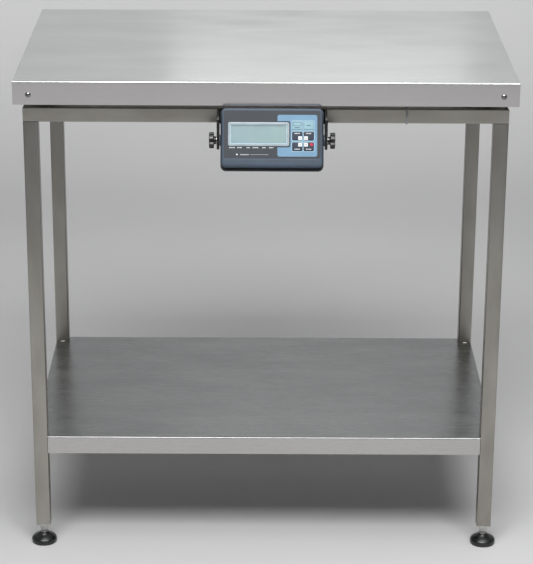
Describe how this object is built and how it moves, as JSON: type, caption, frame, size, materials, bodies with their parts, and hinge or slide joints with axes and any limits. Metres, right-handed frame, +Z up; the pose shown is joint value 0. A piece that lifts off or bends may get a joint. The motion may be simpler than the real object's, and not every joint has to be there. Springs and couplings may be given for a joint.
{
  "type": "animal weighing table scale",
  "caption": "Stainless steel veterinary table scale: weighing platform on load cells over a welded frame with a lower shelf, a tilting display and levelling feet.",
  "frame": {"origin": "on the floor, under the middle of the outline's box", "axes": "+Z up, the display faces -Y, +X to the right as seen from the display's side"},
  "size_m": [1, 0.6995, 1.025],
  "materials": {
    "tube_steel": "satin ground stainless tube",
    "sheet_steel": "satin stainless sheet",
    "shelf_steel": "smooth mill-finish stainless sheet",
    "plated_steel": "bright steel",
    "cell_alloy": "machined",
    "box_plastic": "fine texture",
    "black_plastic": "fine texture",
    "bracket_plastic": "black powder coat",
    "knob_plastic": "semi-gloss moulding",
    "lead_rubber": "matt",
    "tie_nylon": "smooth",
    "case_plastic": "fine texture, blue-grey",
    "rear_plastic": "fine texture, dark",
    "gasket_rubber": "matt",
    "overlay_film": "printed polyester film",
    "bezel_plastic": "smooth",
    "window_clear": "clear window",
    "lcd_glass": "reflective liquid crystal panel",
    "board_green": "solder mask",
    "battery_shell": "smooth",
    "insert_brass": "machined",
    "washer_nylon": "smooth",
    "key_light": "printed dome key",
    "key_dark": "printed dome key",
    "pad_rubber": "semi-gloss moulding"
  },
  "bodies": {
    "table": {"leg_front_left": "tube_steel", "leg_front_right": "tube_steel", "leg_rear_left": "tube_steel", "leg_rear_right": "tube_steel", "rail_front": "tube_steel", "rail_rear": "tube_steel", "side_rails": "tube_steel", "leg_inserts": "plated_steel", "shelf_pan": "shelf_steel", "shelf_stiffeners": "shelf_steel", "cell_brackets": "tube_steel", "load_cells": "cell_alloy", "frame_bolts": "plated_steel", "junction_box": "box_plastic", "junction_lid": "box_plastic", "junction_glands": "black_plastic", "cell_leads": "lead_rubber", "display_lead": "lead_rubber", "lead_loop": "lead_rubber", "cable_tie": "tie_nylon", "display_bracket": "bracket_plastic"},
    "platform": {"weighing_pan": "sheet_steel", "weigh_side_tubes": "tube_steel", "weigh_cross_tubes": "tube_steel", "corner_plates": "tube_steel", "end_plugs": "plated_steel", "pan_screws": "plated_steel", "load_feet": "plated_steel"},
    "display": {"front_cover": "case_plastic", "rear_case": "rear_plastic", "case_gasket": "gasket_rubber", "front_overlay": "overlay_film", "lcd_bezel": "bezel_plastic", "lcd_window": "window_clear", "lcd_module": "lcd_glass", "main_board": "board_green", "battery": "battery_shell", "case_screws": "plated_steel", "pivot_inserts": "insert_brass", "lead_gland": "black_plastic", "charger_socket": "black_plastic", "pivot_washers": "washer_nylon"},
    "clamp_left": {"clamp_washer_left": "plated_steel"},
    "clamp_right": {"clamp_washer_right": "plated_steel"},
    "knob_left": {"knob_left": "knob_plastic"},
    "knob_right": {"knob_right": "knob_plastic"},
    "key_1": {"key_1": "key_light"},
    "key_2": {"key_2": "key_light"},
    "key_3": {"key_3": "key_dark"},
    "key_4": {"key_4": "key_dark"},
    "key_5": {"key_5": "key_dark"},
    "key_6": {"key_6": "key_dark"},
    "foot_front_left": {"foot_stem_front_left": "plated_steel", "foot_pad_front_left": "pad_rubber"},
    "foot_front_right": {"foot_stem_front_right": "plated_steel", "foot_pad_front_right": "pad_rubber"},
    "foot_rear_left": {"foot_stem_rear_left": "plated_steel", "foot_pad_rear_left": "pad_rubber"},
    "foot_rear_right": {"foot_stem_rear_right": "plated_steel", "foot_pad_rear_right": "pad_rubber"}
  },
  "joints": [
    {"name": "platform_load", "type": "slide", "parent": "table", "child": "platform", "axis": [0, 0, -1], "range_m": [-0.0001, 0.0005], "stiffness_N_per_m": 2000000, "springref_m": -0.00008},
    {"name": "display_tilt", "type": "hinge", "parent": "table", "child": "display", "pos_m": [0.012, -0.30559, 0.913], "axis": [-1, 0, 0], "range_deg": [-55, 8], "deforming": ["lead_loop"]},
    {"name": "knob_left_lift", "type": "slide", "parent": "display", "child": "clamp_left", "axis": [-1, 0, 0], "range_m": [0, 0.00205]},
    {"name": "knob_left_turn", "type": "hinge", "parent": "clamp_left", "child": "knob_left", "pos_m": [0.012, -0.30559, 0.913], "axis": [-1, 0, 0], "range_deg": [0, 720]},
    {"name": "knob_right_lift", "type": "slide", "parent": "display", "child": "clamp_right", "axis": [1, 0, 0], "range_m": [0, 0.00205]},
    {"name": "knob_right_turn", "type": "hinge", "parent": "clamp_right", "child": "knob_right", "pos_m": [0.012, -0.30559, 0.913], "axis": [1, 0, 0], "range_deg": [0, 720]},
    {"name": "key_1_press", "type": "slide", "parent": "display", "child": "key_1", "axis": [0, 0.9135, -0.4067], "range_m": [0, 0.0006], "stiffness_N_per_m": 1500},
    {"name": "key_2_press", "type": "slide", "parent": "display", "child": "key_2", "axis": [0, 0.9135, -0.4067], "range_m": [0, 0.0006], "stiffness_N_per_m": 1500},
    {"name": "key_3_press", "type": "slide", "parent": "display", "child": "key_3", "axis": [0, 0.9135, -0.4067], "range_m": [0, 0.0006], "stiffness_N_per_m": 1500},
    {"name": "key_4_press", "type": "slide", "parent": "display", "child": "key_4", "axis": [0, 0.9135, -0.4067], "range_m": [0, 0.0006], "stiffness_N_per_m": 1500},
    {"name": "key_5_press", "type": "slide", "parent": "display", "child": "key_5", "axis": [0, 0.9135, -0.4067], "range_m": [0, 0.0006], "stiffness_N_per_m": 1500},
    {"name": "key_6_press", "type": "slide", "parent": "display", "child": "key_6", "axis": [0, 0.9135, -0.4067], "range_m": [0, 0.0006], "stiffness_N_per_m": 1500},
    {"name": "foot_front_left_height", "type": "slide", "parent": "table", "child": "foot_front_left", "axis": [0, 0, -1], "range_m": [0, 0.025]},
    {"name": "foot_front_right_height", "type": "slide", "parent": "table", "child": "foot_front_right", "axis": [0, 0, -1], "range_m": [0, 0.025]},
    {"name": "foot_rear_left_height", "type": "slide", "parent": "table", "child": "foot_rear_left", "axis": [0, 0, -1], "range_m": [0, 0.025]},
    {"name": "foot_rear_right_height", "type": "slide", "parent": "table", "child": "foot_rear_right", "axis": [0, 0, -1], "range_m": [0, 0.025]}
  ],
  "couplings": [
    {"joint": "knob_left_lift", "follows": "knob_left_turn", "m_per_rad": 0.00015915},
    {"joint": "knob_right_lift", "follows": "knob_right_turn", "m_per_rad": 0.00015915}
  ]
}
